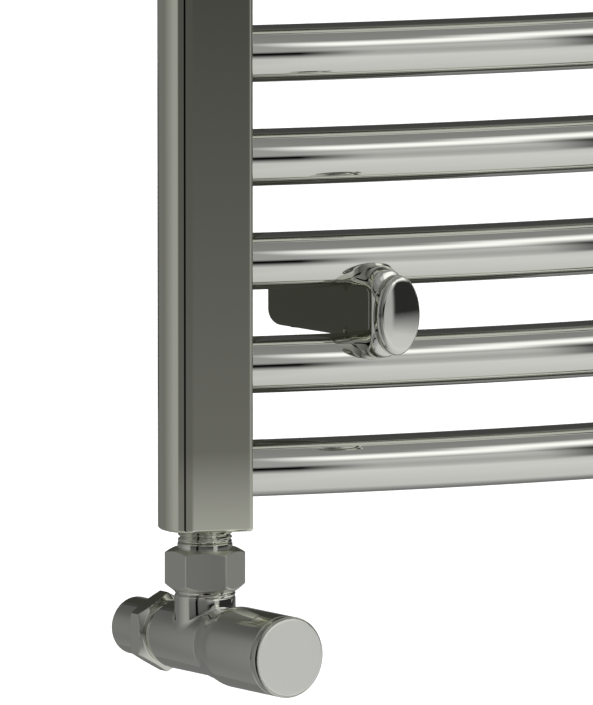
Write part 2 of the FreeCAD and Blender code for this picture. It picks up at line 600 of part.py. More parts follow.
def handle():
    """The turning handle: shell, web and a hexagonal pocket for the insert."""
    web = HANDLE_WEB
    shell = grip_shell(web + HANDLE_WEB_T)
    hollow = tube(HANDLE_R - HANDLE_WALL - 1, HANDLE_FRONT + DISC_T - 1, web, Y_AXIS)
    hub = tube(INSERT_AF * 0.75, web + 1, web + HANDLE_WEB_T + INSERT_LENGTH, Y_AXIS)
    pocket = hexagon(INSERT_AF + RUN_GAP, web + HANDLE_WEB_T, web + HANDLE_WEB_T + INSERT_LENGTH + 1, Y_AXIS)
    screw = tube(HANDLE_SCREW_R + 2 * RUN_GAP, web - 1, web + HANDLE_WEB_T + 1, Y_AXIS)
    return shell.cut(hollow).fuse(hub).cut([pocket, screw])


def handle_insert():
    """The splined bush between the handle and the spindle."""
    start = HANDLE_WEB + HANDLE_WEB_T
    body = hexagon(INSERT_AF, start, start + INSERT_LENGTH, Y_AXIS)
    screw = tube(HANDLE_SCREW_R + 2 * RUN_GAP, start - 1, start + INSERT_LENGTH + 1, Y_AXIS)
    return body.cut([square(SPINDLE_SQUARE + 0.1, SPINDLE_FRONT - 0.2, start + INSERT_LENGTH + 1), screw])


def handle_screw():
    seat = HANDLE_WEB - RUN_GAP
    front = seat - HANDLE_SCREW_HEAD_T
    head = tube(HANDLE_SCREW_HEAD_R, front, seat, Y_AXIS)
    shank = tube(HANDLE_SCREW_R, front + 1, SPINDLE_FRONT + SPINDLE_TAPPING - 1, Y_AXIS)
    slot = Part.makeBox(HANDLE_SCREW_HEAD_R * 2 + 1, 1.0, 0.9, V(-HANDLE_SCREW_HEAD_R - 0.5, front - 0.5, -0.45))
    return head.fuse(shank).cut(slot)


def handle_disc():
    """The flat plate pressed into the handle's front."""
    seat = DISC_R - 0.6
    return turned([(0, HANDLE_FRONT), (DISC_R - 0.3, HANDLE_FRONT), (DISC_R, HANDLE_FRONT + 0.3),
                   (DISC_R, HANDLE_FRONT + 0.55), (seat, HANDLE_FRONT + 0.55), (seat, HANDLE_FRONT + DISC_T),
                   (0, HANDLE_FRONT + DISC_T)], Y_AXIS)


def lock_cover():
    """The pull-off cover of the lockshield valve; its inner ring grips the bonnet's nose."""
    shell = grip_shell(HANDLE_FRONT + DISC_T + 2).fuse(
        tube(DISC_R - 0.6 + RUN_GAP + 0.2, HANDLE_FRONT, HANDLE_FRONT + DISC_T, Y_AXIS))
    grip_r = BONNET_NOSE_R + RUN_GAP
    ring = tube(grip_r + LOCK_COVER_GRIP_T, HANDLE_FRONT + DISC_T + 1, BONNET_FLANGE[1] - FACE_GAP * 3,
                Y_AXIS, grip_r)
    return shell.fuse(ring)


def valves():
    paired = {"union_tails": union_tail, "union_seals": union_seal, "union_nuts": union_nut,
              "compression_nuts": compression_nut, "olives": olive, "bonnets": bonnet,
              "bonnet_seals": bonnet_seal, "spindle_seals": spindle_seal}
    for name, make in paired.items():
        solid = make()
        write(name, *[at_valve(solid, side) for side in SIDES.values()])
    fronts = {"left": SPINDLE_FRONT, "right": BONNET_FRONT - 5}
    for name, side in SIDES.items():
        write("valve_body_" + name, at_valve(valve_body(), side))
        write("spindle_" + name, at_valve(spindle(fronts[name]), side))
        write("valve_plug_" + name, at_valve(valve_plug(), side))
        write("plug_washer_" + name, at_valve(plug_washer(), side))
    for name, make in (("handle", handle), ("handle_disc", handle_disc), ("handle_insert", handle_insert),
                       ("handle_screw", handle_screw)):
        write(name, at_valve(make(), SIDES["left"]))
    write("lockshield_cover", at_valve(lock_cover(), SIDES["right"]))


# ---- fittings in the upper tappings ---------------------------------------------------------------
def top_plug(tip_bore):
    """A half-inch plug with a domed head, in the upright's frame, top of the cap at z = 0."""
    head = turned([(0, TOP_SEAL_T), (PLUG_HEAD_R, TOP_SEAL_T), (PLUG_HEAD_R, TOP_SEAL_T + PLUG_HEAD_T - 1.2),
                   (PLUG_HEAD_R - 1.2, TOP_SEAL_T + PLUG_HEAD_T), (0, TOP_SEAL_T + PLUG_HEAD_T)])
    shank = tube(HALF_INCH_R, -TAIL_GRIP, TOP_SEAL_T + 1)
    cavity = tube(HALF_INCH_R - 2.5, -TAIL_GRIP - 1, -tip_bore)
    return head.fuse(shank).cut(cavity)


def top_seal():
    return tube(PLUG_HEAD_R - 0.5, 0, TOP_SEAL_T, bore=HALF_INCH_R + THREAD_GAP)


def vent_body():
    top = TOP_SEAL_T + PLUG_HEAD_T
    foot = top - 1 - VENT_SCREW_LENGTH
    screw = tube(VENT_SCREW_R + RUN_GAP, foot, top + 1)
    hole = tube(VENT_HOLE_R, -TAIL_GRIP - 1, foot + 1)
    side_hole = Part.makeCylinder(VENT_HOLE_R / 2, PLUG_HEAD_R + 1, V(0, 0, top - 2.2), Y_AXIS)
    return top_plug(TAIL_GRIP - 3.5).cut([screw, hole, side_hole])


def bleed_screw():
    """A cone-ended screw with a square for the bleed key."""
    top = TOP_SEAL_T + PLUG_HEAD_T
    foot = top - 1 - VENT_SCREW_LENGTH
    body = turned([(0, foot + FACE_GAP), (VENT_HOLE_R, foot + FACE_GAP), (VENT_SCREW_R, foot + 2.6),
                   (VENT_SCREW_R, top - 1), (0, top - 1)])
    return body.fuse(square(VENT_SCREW_KEY * 0.9, top - 1.5, top + 3.5, Z_AXIS))


def blanking_plug():
    top = TOP_SEAL_T + PLUG_HEAD_T
    return top_plug(2.0).cut(hexagon(10.0, top - 4, top + 1))


def top_fittings():
    def place(shape, side):
        return moved(shape, side * UPRIGHT_X, -AXIS_GAP, TOP)

    write("vent_body", place(vent_body(), SIDES["left"]))
    write("bleed_screw", place(bleed_screw(), SIDES["left"]))
    write("blanking_plug", place(blanking_plug(), SIDES["right"]))
    write("top_seals", *[place(top_seal(), side) for side in SIDES.values()])


def main():
    os.makedirs("parts", exist_ok=True)
    frame()
    brackets()
    valves()
    top_fittings()


main()
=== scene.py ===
"""Studio model of a bowed chrome towel radiator with its pair of angled valves."""
import bmesh
import bpy
import json
import math
from bpy.props import FloatProperty, PointerProperty, StringProperty
from mathutils import Matrix, Vector


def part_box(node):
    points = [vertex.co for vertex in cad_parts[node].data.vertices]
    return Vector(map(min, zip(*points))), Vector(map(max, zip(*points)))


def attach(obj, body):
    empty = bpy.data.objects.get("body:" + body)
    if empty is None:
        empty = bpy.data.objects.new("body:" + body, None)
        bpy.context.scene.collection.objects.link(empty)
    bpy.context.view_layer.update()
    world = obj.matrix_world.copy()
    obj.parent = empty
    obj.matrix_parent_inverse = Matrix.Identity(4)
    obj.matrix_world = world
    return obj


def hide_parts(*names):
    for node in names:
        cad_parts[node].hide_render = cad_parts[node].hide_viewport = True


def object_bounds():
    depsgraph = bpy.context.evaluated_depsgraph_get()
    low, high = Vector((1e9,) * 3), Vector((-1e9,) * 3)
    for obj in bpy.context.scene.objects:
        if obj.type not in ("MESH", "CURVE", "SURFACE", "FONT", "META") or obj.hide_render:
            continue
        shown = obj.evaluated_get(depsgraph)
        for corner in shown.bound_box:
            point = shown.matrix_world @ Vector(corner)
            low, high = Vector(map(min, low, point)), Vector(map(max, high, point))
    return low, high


bl_info = {
    "name": "Towel Radiator",
    "version": (1, 0, 0),
    "blender": (4, 5, 0),
    "location": "3D View > Sidebar > Radiator",
    "description": "Builds a bowed chrome towel radiator with angled valves round its frame",
    "category": "Object",
}

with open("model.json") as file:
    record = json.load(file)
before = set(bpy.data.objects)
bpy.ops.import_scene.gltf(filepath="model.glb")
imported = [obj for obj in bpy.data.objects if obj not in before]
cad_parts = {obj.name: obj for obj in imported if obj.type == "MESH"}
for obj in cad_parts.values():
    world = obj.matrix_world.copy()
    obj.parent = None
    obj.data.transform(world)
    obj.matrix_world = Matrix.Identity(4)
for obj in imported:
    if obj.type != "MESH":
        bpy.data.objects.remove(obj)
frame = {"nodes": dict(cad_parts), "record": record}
CAD_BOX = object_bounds()
MM = 0.001
SIDES = {"left": -1, "right": 1}
BODY = "radiator"


def middle(node):
    low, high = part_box(node)
    return (low + high) / 2


def extent(node, axis):
    low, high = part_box(node)
    return high[axis] - low[axis]


# Places that every piece is set out from, taken from the frame.
BAR_RADIUS = extent("bar_01", 2) / 2
UPRIGHT_AXIS = Vector((middle("union_seals")[0] + extent("union_seals", 0) / 2
                       - extent("union_seals", 1) / 2, middle("union_seals")[1], 0))
UPRIGHT_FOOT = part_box("end_cap_bottom_left")[0][2]
UPRIGHT_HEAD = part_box("end_cap_top_left")[1][2]
BARREL_HEIGHT = middle("plug_washer_left")[2]


# ---- settings a user would change -----------------------------------------------------------------
class RadiatorSizes(bpy.types.PropertyGroup):
    bow_radius: FloatProperty(name="Bow radius", description="Plan radius of the crossbars",
                              default=0.680, unit="LENGTH")
    upright_width: FloatProperty(name="Upright width", description="D section, along the crossbars",
                                 default=0.0333, unit="LENGTH")
    upright_depth: FloatProperty(name="Upright depth", description="D section, front to back",
                                 default=0.030, unit="LENGTH")
    upright_flat_side: FloatProperty(name="Flat side", description="Tapping axis to the flat inner side",
                                     default=0.0153, unit="LENGTH")
    upright_nose: FloatProperty(name="Nose", description="How far the rounded side stands out",
                                default=0.0105, unit="LENGTH")
    corner_radius: FloatProperty(name="Corner radius", description="Rolled corners of the D section",
                                 default=0.0011, unit="LENGTH")
    foot_radius: FloatProperty(name="Foot radius", description="Polished edge of the uprights' ends",
                               default=0.0012, unit="LENGTH")


class RadiatorFinish(bpy.types.PropertyGroup):
    chrome: StringProperty(name="Chrome", description="Colour of the bright chrome plate", default="E3E4DD")
    valve_chrome: StringProperty(name="Valve chrome", description="Chrome over turned brass",
                                 default="DEDFD6")
    floor: StringProperty(name="Floor", description="Pale studio floor", default="FAFAFA")


class RadiatorCamera(bpy.types.PropertyGroup):
    azimuth: FloatProperty(name="Azimuth", description="Degrees round from the front, right is positive",
                           default=-34.07)
    elevation: FloatProperty(name="Elevation", description="Degrees above the horizon", default=6.93)
    distance: FloatProperty(name="Distance", description="Camera to the point it looks at",
                            default=5.087, unit="LENGTH")
    lens: FloatProperty(name="Lens", description="Focal length on a 36 mm sensor, in millimetres",
                        default=678.5)


# ---- small helpers ---------------------------------------------------------------------------------
def linear_share(value):
    """An sRGB value of 0 to 255 as a linear share of full brightness."""
    c = value / 255
    return c / 12.92 if c <= 0.04045 else ((c + 0.055) / 1.055) ** 2.4


def linear(code):
    """Six hexadecimal sRGB digits as a linear colour with alpha."""
    return [linear_share(int(code[k:k + 2], 16)) for k in (0, 2, 4)] + [1.0]


def add(tree, kind, inputs=None, **settings):
    """Adds a node, sets its settings, then fills or links its inputs."""
    made = tree.nodes.new(kind)
    for name, value in settings.items():
        setattr(made, name, value)
    for name, value in (inputs or {}).items():
        if isinstance(value, bpy.types.NodeSocket):
            tree.links.new(value, made.inputs[name])
        else:
            made.inputs[name].default_value = value
    return made


def ramp(tree, factor, stops, interpolation="LINEAR"):
    """A colour ramp from (position, colour) stops; a number is a grey."""
    made = add(tree, "ShaderNodeValToRGB", {"Fac": factor})
    made.color_ramp.interpolation = interpolation
    elements = made.color_ramp.elements
    while len(elements) < len(stops):
        elements.new(0.5)
    for element, (position, colour) in zip(elements, stops):
        element.position = position
        element.color = colour if not isinstance(colour, (int, float)) else (colour, colour, colour, 1)
    return made.outputs["Color"]


def sums(tree, operation, first, second, **settings):
    return add(tree, "ShaderNodeMath", {0: first, 1: second}, operation=operation, **settings).outputs[0]


# ---- materials --------------------------------------------------------------------------------------
def new_material(name):
    material = bpy.data.materials.new(name)
    material.use_nodes = True
    tree = material.node_tree
    tree.nodes.clear()
    shader = add(tree, "ShaderNodeBsdfPrincipled")
    add(tree, "ShaderNodeOutputMaterial", {"Surface": shader.outputs[0]})
    return material, tree, shader


def plated_metal(name, code, rough_low, rough_high, ripple_mm, ripple_depth_mm):
    """Metal with a long, low ripple from polishing and faint wiping marks in its gloss."""
    material, tree, shader = new_material(name)
    shader.inputs["Base Color"].default_value = linear(code)
    shader.inputs["Metallic"].default_value = 1.0
    place = add(tree, "ShaderNodeTexCoord").outputs["Object"]
    wipes = add(tree, "ShaderNodeTexNoise", {"Vector": place, "Scale": 1 / (18 * MM), "Detail": 3.0})
    gloss = add(tree, "ShaderNodeMapRange", {"Value": wipes.outputs[0], "From Min": 0.35, "From Max": 0.7,
                                             "To Min": rough_low, "To Max": rough_high})
    tree.links.new(gloss.outputs[0], shader.inputs["Roughness"])
    ripple = add(tree, "ShaderNodeTexNoise", {"Vector": place, "Scale": 1 / (ripple_mm * MM), "Detail": 1.0})
    bump = add(tree, "ShaderNodeBump", {"Height": ripple.outputs[0], "Strength": 1.0,
                                        "Distance": ripple_depth_mm * MM})
    tree.links.new(bump.outputs[0], shader.inputs["Normal"])
    return material


def bright_chrome():
    """Bright nickel-chrome plate on drawn steel tube, buffed before plating: a clear mirror with an
    olive cast, whose reflections waver very slightly along the tube."""
    return plated_metal("Bright chrome plate", CHROME_CODES["chrome"], 0.025, 0.045, 35, 0.004)


def upright_chrome():
    """The same plate on rolled tube, a little yellower: the extra olive is a painted reflection tint,
    standing in for the olive surroundings that its long flats mirror.
    """
    # E2E3D4 is the bars' chrome made yellower: painted reflection tint, not a different plate.
    return plated_metal("Upright chrome, painted olive reflection tint", "E2E3D4", 0.03, 0.05, 60, 0.003)


def nut_chrome():
    """Chrome on brass hexagon stock: drawn flats left duller than turned faces, so they read mid grey."""
    return plated_metal("Chrome on drawn hexagon", CHROME_CODES["valve_chrome"], 0.30, 0.38, 30, 0.004)


def handle_chrome():
    """Chrome plate on moulded ABS: even, very faintly rippled from the mould."""
    return plated_metal("Chrome on moulded ABS", CHROME_CODES["valve_chrome"], 0.07, 0.11, 12, 0.004)


def valve_chrome():
    """Chrome plate on turned and hot-stamped brass: a shade duller, so edges read soft."""
    return plated_metal("Chrome on stamped brass", CHROME_CODES["valve_chrome"], 0.05, 0.09, 9, 0.003)


def satin_chrome_disc():
    """Pearl chrome plate on a bead-blasted disc: a fine tooth scatters light from all over the room, so
    the face looks even and pale. The tooth is about 0.2 mm across."""
    material, tree, shader = new_material("Pearl chrome disc")
    shader.inputs["Metallic"].default_value = 0.5
    place = add(tree, "ShaderNodeTexCoord").outputs["Object"]
    tooth = add(tree, "ShaderNodeTexNoise", {"Vector": place, "Scale": 1 / (0.2 * MM), "Detail": 2.0})
    tint = ramp(tree, tooth.outputs[0], [(0.3, linear("D6D7D1")), (0.7, linear("E2E3DD"))])
    tree.links.new(tint, shader.inputs["Base Color"])
    gloss = add(tree, "ShaderNodeMapRange", {"Value": tooth.outputs[0], "To Min": 0.34, "To Max": 0.46})
    tree.links.new(gloss.outputs[0], shader.inputs["Roughness"])
    bump = add(tree, "ShaderNodeBump", {"Height": tooth.outputs[0], "Strength": 0.2, "Distance": 0.004 * MM})
    tree.links.new(bump.outputs[0], shader.inputs["Normal"])
    return material


def zinc_plated_steel():
    """Turned steel with clear-passivated zinc: bluish grey, with a fine mottle of crystals."""
    material, tree, shader = new_material("Zinc plated steel")
    shader.inputs["Metallic"].default_value = 1.0
    place = add(tree, "ShaderNodeTexCoord").outputs["Object"]
    crystals = add(tree, "ShaderNodeTexNoise", {"Vector": place, "Scale": 1 / (1.5 * MM), "Detail": 5.0})
    tint = ramp(tree, crystals.outputs[0], [(0.35, linear("A9ACAF")), (0.65, linear("C9CCCB"))])
    tree.links.new(tint, shader.inputs["Base Color"])
    gloss = add(tree, "ShaderNodeMapRange", {"Value": crystals.outputs[0], "To Min": 0.25, "To Max": 0.42})
    tree.links.new(gloss.outputs[0], shader.inputs["Roughness"])
    return material


def turned_brass():
    """Bare brass off the lathe: warm yellow with tool rings and a slight tarnish in the hollows."""
    material, tree, shader = new_material("Turned brass")
    shader.inputs["Metallic"].default_value = 1.0
    place = add(tree, "ShaderNodeTexCoord").outputs["Object"]
    tarnish = add(tree, "ShaderNodeTexNoise", {"Vector": place, "Scale": 1 / (4 * MM), "Detail": 4.0})
    tint = ramp(tree, tarnish.outputs[0], [(0.3, linear("B5924E")), (0.7, linear("D9B971"))])
    tree.links.new(tint, shader.inputs["Base Color"])
    grain = add(tree, "ShaderNodeTexWave", {"Vector": place, "Scale": 1 / (0.6 * MM) / 20, "Distortion": 1.0},
                bands_direction="Y")
    gloss = add(tree, "ShaderNodeMapRange", {"Value": grain.outputs[1], "To Min": 0.2, "To Max": 0.34})
    tree.links.new(gloss.outputs[0], shader.inputs["Roughness"])
    return material


def plain_body(name, dark, light, grain_mm, roughness, ior, depth_mm):
    """Moulded or pressed stuff with a fine grain in colour and surface."""
    material, tree, shader = new_material(name)
    shader.inputs["IOR"].default_value = ior
    shader.inputs["Roughness"].default_value = roughness
    place = add(tree, "ShaderNodeTexCoord").outputs["Object"]
    grain = add(tree, "ShaderNodeTexNoise", {"Vector": place, "Scale": 1 / (grain_mm * MM), "Detail": 6.0})
    tint = ramp(tree, grain.outputs[0], [(0.3, linear(dark)), (0.7, linear(light))])
    tree.links.new(tint, shader.inputs["Base Color"])
    bump = add(tree, "ShaderNodeBump", {"Height": grain.outputs[0], "Strength": 0.5,
                                        "Distance": depth_mm * MM})
    tree.links.new(bump.outputs[0], shader.inputs["Normal"])
    return material


def nitrile_rubber():
    """Moulded nitrile: soft black with a powdery bloom."""
    return plain_body("Nitrile rubber", "161616", "262524", 0.8, 0.62, 1.52, 0.02)


def vulcanised_fibre():
    """Pressed red fibre washer: matt, with paper-like flecks."""
    return plain_body("Vulcanised fibre", "6B241B", "8E3A2C", 0.5, 0.78, 1.5, 0.03)


def nylon():
    """Injection-moulded nylon bush: milky white with a slight sheen."""
    return plain_body("Moulded nylon", "DAD8CF", "EAE8E0", 1.2, 0.38, 1.53, 0.01)


CHROME_CODES = {}
FINISHES = {
    "chrome_bar": bright_chrome, "chrome_upright": upright_chrome, "chrome_bracket": bright_chrome,
    "chrome_valve": valve_chrome, "chrome_handle": handle_chrome, "chrome_disc": satin_chrome_disc,
    "zinc_steel": zinc_plated_steel, "bare_brass": turned_brass, "black_rubber": nitrile_rubber,
    "red_fibre": vulcanised_fibre, "white_nylon": nylon,
}
MADE = {}


def finish_for(slot):
    """The material of a record slot; slots that share a finish share one material."""
    maker = FINISHES[slot]
    if maker not in MADE:
        MADE[maker] = maker()
    return MADE[maker]


# ---- mesh helpers -------------------------------------------------------------------------------------
def new_piece(name, verts, faces, slot, replaced=(), body=BODY, sharp_deg=32, maker=None):
    """One piece of the object: mesh, finish, sharp edges, ride and replaced nodes. A maker gives it a
    finish of its own in place of its slot's."""
    mesh = bpy.data.meshes.new(name)
    mesh.from_pydata([tuple(v) for v in verts], [], faces)
    mesh.validate()
    tidy = bmesh.new()
    tidy.from_mesh(mesh)
    bmesh.ops.remove_doubles(tidy, verts=tidy.verts, dist=1e-7)
    bmesh.ops.recalc_face_normals(tidy, faces=tidy.faces)
    tidy.to_mesh(mesh)
    tidy.free()
    mesh.shade_smooth()
    mesh.set_sharp_from_angle(angle=math.radians(sharp_deg))
    piece = bpy.data.objects.new(name, mesh)
    bpy.context.scene.collection.objects.link(piece)
    mesh.materials.append(maker() if maker else finish_for(slot))
    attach(piece, body)
    if replaced:
        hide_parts(*replaced)
    return piece


def skin(rings, closed_ends=True):
    """Vertices and faces over a row of closed rings; the two ends get flat lids."""
    count = len(rings[0])
    verts = [point for ring in rings for point in ring]
    faces = []
    for k in range(len(rings) - 1):
        for j in range(count):
            i = (j + 1) % count
            faces.append((k * count + j, k * count + i, (k + 1) * count + i, (k + 1) * count + j))
    if closed_ends:
        for start in (0, (len(rings) - 1) * count):
            faces.append(tuple(range(start, start + count)))
    return verts, faces


def lathe(profile, centre, axis, segments=128, shape=None):
    """Rings turned round an axis through centre. profile holds (radius, station) in metres; shape may
    change a radius at (angle, radius, station)."""
    along = Vector((0, 1, 0)) if axis == "Y" else Vector((0, 0, 1))
    first = Vector((1, 0, 0))
    second = Vector((0, 0, 1)) if axis == "Y" else Vector((0, 1, 0))
    rings = []
    for radius, station in profile:
        ring = []
        for j in range(segments):
            angle = 2 * math.pi * j / segments
            r = shape(angle, radius, station) if shape else radius
            ring.append(centre + along * station + (first * math.cos(angle) + second * math.sin(angle)) * r)
        rings.append(ring)
    return skin(rings)


def joined(parts):
    """Several (verts, faces) as one."""
    verts, faces = [], []
    for part_verts, part_faces in parts:
        shift = len(verts)
        verts += part_verts
        faces += [tuple(i + shift for i in face) for face in part_faces]
    return verts, faces


def rounded(profile, radius, steps=5):
    """Profile points with every corner that isn't an end turned into a small arc."""
    points = [Vector(p) for p in profile]
    out = [tuple(points[0])]
    for before, corner, after in zip(points, points[1:], points[2:]):
        a, b = before - corner, after - corner
        reach = min(radius, a.length * 0.45, b.length * 0.45)
        turn = math.pi - a.angle(b, 0.0)
        if turn < math.radians(8) or reach < 1e-6:
            out.append(tuple(corner))
            continue
        start, end = corner + a.normalized() * reach, corner + b.normalized() * reach
        for k in range(steps + 1):
            t = k / steps
            out.append(tuple(start * (1 - t) ** 2 + corner * 2 * t * (1 - t) + end * t ** 2))
    out.append(tuple(points[-1]))
    return out


def dense(profile, step):
    """Profile points with long runs cut into steps."""
    out = [profile[0]]
    for (r0, s0), (r1, s1) in zip(profile, profile[1:]):
        count = max(1, math.ceil(math.hypot(r1 - r0, s1 - s0) / step))
        out += [(r0 + (r1 - r0) * k / count, s0 + (s1 - s0) * k / count) for k in range(1, count + 1)]
    return out


def hex_limit(across_flats, turn, ease):
    """A radius limit that cuts six flats and eases the edges between them and the turned form."""
    def shape(angle, radius, station):
        off = (angle - turn) % (math.pi / 3) - math.pi / 6
        return soft_min(across_flats / 2 / math.cos(off), radius, ease)

    return shape


def soft_min(a, b, width):
    """The smaller of two values, blended over a width so that the edge between them is eased."""
    h = max(width - abs(a - b), 0.0) / width
    return min(a, b) - h * h * width * 0.25


# ---- crossbars and uprights ------------------------------------------------------------------------
def bow(sizes):
    """Half angle and centre of the crossbars' arc in plan."""
    flat = sizes.upright_flat_side
    half = (math.asin(UPRIGHT_AXIS.x / math.hypot(sizes.bow_radius, flat))
            - math.atan2(flat, sizes.bow_radius))
    end_y = UPRIGHT_AXIS.y - flat * math.sin(half)
    return half, Vector((0, end_y + sizes.bow_radius * math.cos(half), 0))


def bar_rings(sizes, height, radius, overrun=0.0, steps=120, around=72, start=-1.0, end=1.0):
    """Rings along a crossbar; overrun is how far it passes the uprights' flat sides."""
    half, centre = bow(sizes)
    half += overrun / sizes.bow_radius
    rings = []
    for k in range(steps + 1):
        angle = half * (start + (end - start) * k / steps)
        out = Vector((math.sin(angle), -math.cos(angle), 0))
        at = centre + out * sizes.bow_radius + Vector((0, 0, height))
        rings.append([at + (out * math.cos(t) + Vector((0, 0, 1)) * math.sin(t)) * radius
                      for t in (2 * math.pi * j / around for j in range(around))])
    return rings


class RADIATOR_OT_crossbars(bpy.types.Operator):
    """Draws each crossbar as one bowed tube seated in both uprights"""
    bl_idname = "radiator.crossbars"
    bl_label = "Crossbars"

    def execute(self, context):
        sizes = context.scene.radiator_sizes
        wall = 1.5 * MM
        names = sorted(name for name in frame["nodes"] if name.startswith("bar_"))
        for name in names:
            verts, faces = skin(bar_rings(sizes, middle(name).z, BAR_RADIUS, wall))
            new_piece("cross" + name, verts, faces, "chrome_bar", [name])
        return {"FINISHED"}


def d_outline(sizes, inset=0.0):
    """The upright's outline round its tapping axis: flat side at -x, nose at +x, front at -y."""
    flat = -sizes.upright_flat_side + inset
    shoulder = sizes.upright_width - sizes.upright_flat_side - sizes.upright_nose
    half = sizes.upright_depth / 2 - inset
    corner = max(sizes.corner_radius - inset, 0.05 * MM)
    points = []
    for side, first in ((-1, 180), (1, 90)):
        middle_of_arc = Vector((flat + corner, side * (half - corner)))
        for k in range(9):
            angle = math.radians(first + 90 * k / 8)
            points.append(middle_of_arc + corner * Vector((math.cos(angle), math.sin(angle))))
    front = points[:9]
    back = points[9:]
    flats = 12
    outline = list(front)
    outline += [front[-1].lerp(Vector((shoulder, -half)), k / flats) for k in range(1, flats)]
    arc = 64
    outline += [Vector((shoulder + (sizes.upright_nose - inset) * math.cos(t), half * math.sin(t)))
                for t in (math.radians(-90 + 180 * k / arc) for k in range(arc + 1))]
    outline += [Vector((shoulder, half)).lerp(back[0], k / flats) for k in range(1, flats)]
    outline += back
    inner = 14
    outline += [back[-1].lerp(front[0], k / inner) for k in range(1, inner)]
    return outline


def at_upright(sizes, outline, height, side):
    """An outline set round one upright's axis at a height."""
    half, _ = bow(sizes)
    spin = Matrix.Rotation(half, 2)
    ring = []
    for point in outline:
        turned = spin @ point
        ring.append(Vector((side * (UPRIGHT_AXIS.x + turned.x), UPRIGHT_AXIS.y + turned.y, height)))
    return ring


class RADIATOR_OT_uprights(bpy.types.Operator):
    """Draws the two D-section uprights and their end caps with polished edges"""
    bl_idname = "radiator.uprights"
    bl_label = "Uprights"

    def execute(self, context):
        sizes = context.scene.radiator_sizes
        steps = 8
        for name, side in SIDES.items():
            foot, head = UPRIGHT_FOOT, UPRIGHT_HEAD
            stack = []
            for k in range(steps + 1):
                angle = math.radians(90 * k / steps)
                stack.append((sizes.foot_radius * (1 - math.sin(angle)),
                              foot + sizes.foot_radius * (1 - math.cos(angle))))
            rise = [(0.0, foot + sizes.foot_radius + (head - foot - 2 * sizes.foot_radius) * k / 40)
                    for k in range(1, 40)]
            top = [(inset, head - (z - foot)) for inset, z in reversed(stack)]
            rings = [at_upright(sizes, d_outline(sizes, inset), z, side) for inset, z in stack + rise + top]
            verts, faces = skin(rings)
            new_piece("upright_tube_" + name, verts, faces, "chrome_upright",
                      ["upright_" + name, "end_cap_bottom_" + name, "end_cap_top_" + name])
        return {"FINISHED"}


# ---- wall brackets -----------------------------------------------------------------------------------
def oval_ring(width, height, y, around=96):
    """An oval in the wall's plane: straight sides joined by round ends, evenly spaced points."""
    half = width / 2
    flat = (height - width) / 2
    perimeter = 4 * flat + 2 * math.pi * half
    ring = []
    for k in range(around):
        s = perimeter * k / around
        if s < 2 * flat:
            point = (half, y, -flat + s)
        elif s < 2 * flat + math.pi * half:
            t = (s - 2 * flat) / half
            point = (half * math.cos(t), y, flat + half * math.sin(t))
        elif s < 4 * flat + math.pi * half:
            point = (-half, y, flat - (s - 2 * flat - math.pi * half))
        else:
            t = (s - 4 * flat - math.pi * half) / half + math.pi
            point = (half * math.cos(t), y, -flat + half * math.sin(t))
        ring.append(Vector(point) * MM)
    return ring


def oval_rings(sections, smooth=0):
    """Rings through (width, height, y) sections in millimetres; smooth adds eased rings between."""
    rows = [sections[0]]
    for before, after in zip(sections, sections[1:]):
        for k in range(1, smooth + 2):
            t = k / (smooth + 1)
            rows.append(tuple(a + (b - a) * t for a, b in zip(before, after)))
    return [oval_ring(*row) for row in rows]


def arc_sections(sections, radius_mm, steps=6):
    """Sections whose turns between straight runs are eased over a radius."""
    out = [sections[0]]
    for before, corner, after in zip(sections, sections[1:], sections[2:]):
        a, b, c = Vector(before), Vector(corner), Vector(after)
        reach = min(radius_mm, (a - b).length * 0.48, (c - b).length * 0.48)
        start, end = b + (a - b).normalized() * reach, b + (c - b).normalized() * reach
        for k in range(steps + 1):
            t = k / steps
            out.append(tuple(start * (1 - t) ** 2 + b * 2 * t * (1 - t) + end * t ** 2))
    out.append(sections[-1])
    return out


BRACKET_INSET = 60 * MM
HALF_PITCH = 20 * MM        # from a bracket's axis to the bars above and below it
# Oval sections as (width, height, distance behind the bars' centreline), in millimetres.
SLEEVE_SECTIONS = [(14.5, 22.4, -1.95), (14.5, 23.2, 53.2), (14.3, 23.0, 53.6), (13.9, 22.6, 53.8),
                   (10.6, 10.7, 53.8), (10.6, 10.6, 53.6), (10.6, 10.6, 10.8)]
CLAMP_SECTIONS = [(15.4, 33.2, -2.05), (15.6, 34.2, -3.0), (16.0, 36.5, -14.6), (15.9, 33.4, -18.3),
                  (14.5, 26.0, -20.2), (14.3, 25.6, -22.0)]
BOLT_ROOM = [(0.01, -23), (3.6, -23), (3.6, -18), (2.1, -18), (2.1, 7.5), (0.01, 7.5)]


def bracket_places():
    """The four bracket axes, each at the height midway between its two bars."""
    heights = [(middle(a).z + middle(b).z) / 2 for a, b in (("bar_02", "bar_03"), ("bar_20", "bar_21"))]
    return [(side * (UPRIGHT_AXIS.x - BRACKET_INSET), z) for z in heights for side in (-1, 1)]


def trimmed(name, verts, faces, cutters, slot, replaced):
    """A piece with the crossbars' seats cut out of it."""
    piece = new_piece(name, verts, faces, slot, replaced)
    cutter_mesh = bpy.data.meshes.new("cutter")
    cutter_mesh.from_pydata([tuple(v) for v in cutters[0]], [], cutters[1])
    cutter = bpy.data.objects.new("cutter", cutter_mesh)
    bpy.context.scene.collection.objects.link(cutter)
    fix_normals(cutter_mesh)
    cut = piece.modifiers.new("seats", "BOOLEAN")
    cut.operation = "DIFFERENCE"
    cut.solver = "EXACT"
    cut.object = cutter
    bpy.context.view_layer.update()
    shaped = bpy.data.meshes.new_from_object(piece.evaluated_get(bpy.context.evaluated_depsgraph_get()))
    piece.modifiers.clear()
    piece.data = shaped
    bpy.data.objects.remove(cutter)
    shaped.shade_smooth()
    shaped.set_sharp_from_angle(angle=math.radians(32))
    return piece


def fix_normals(mesh):
    tidy = bmesh.new()
    tidy.from_mesh(mesh)
    bmesh.ops.recalc_face_normals(tidy, faces=tidy.faces)
    tidy.to_mesh(mesh)
    tidy.free()


